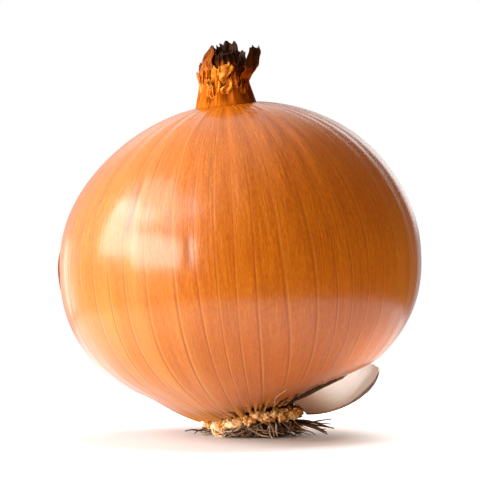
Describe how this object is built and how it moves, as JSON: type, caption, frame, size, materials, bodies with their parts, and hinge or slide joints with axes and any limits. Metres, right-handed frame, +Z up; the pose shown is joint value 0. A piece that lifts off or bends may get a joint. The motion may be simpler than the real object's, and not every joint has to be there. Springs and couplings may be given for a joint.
{
  "type": "onion",
  "caption": "Whole yellow onion standing on its dried roots, with a torn dry neck and a peeling outer skin.",
  "frame": {"origin": "middle of the flat spot on the mat of roots, where the onion stands on a surface", "axes": "+Z up from the surface, -Y towards the front that the picture shows, +X to the side of the peeled flap; the bulb leans towards -X"},
  "size_m": [0.0817, 0.0806, 0.0875],
  "materials": {
    "onion_skin": "satin",
    "flap_skin": "satin",
    "flake_skin": "satin",
    "dry_root": "matte"
  },
  "bodies": {
    "root": {"bulb": "onion_skin", "loose_skin": "flap_skin", "skin_flake": "flake_skin", "roots": "dry_root"}
  },
  "joints": []
}
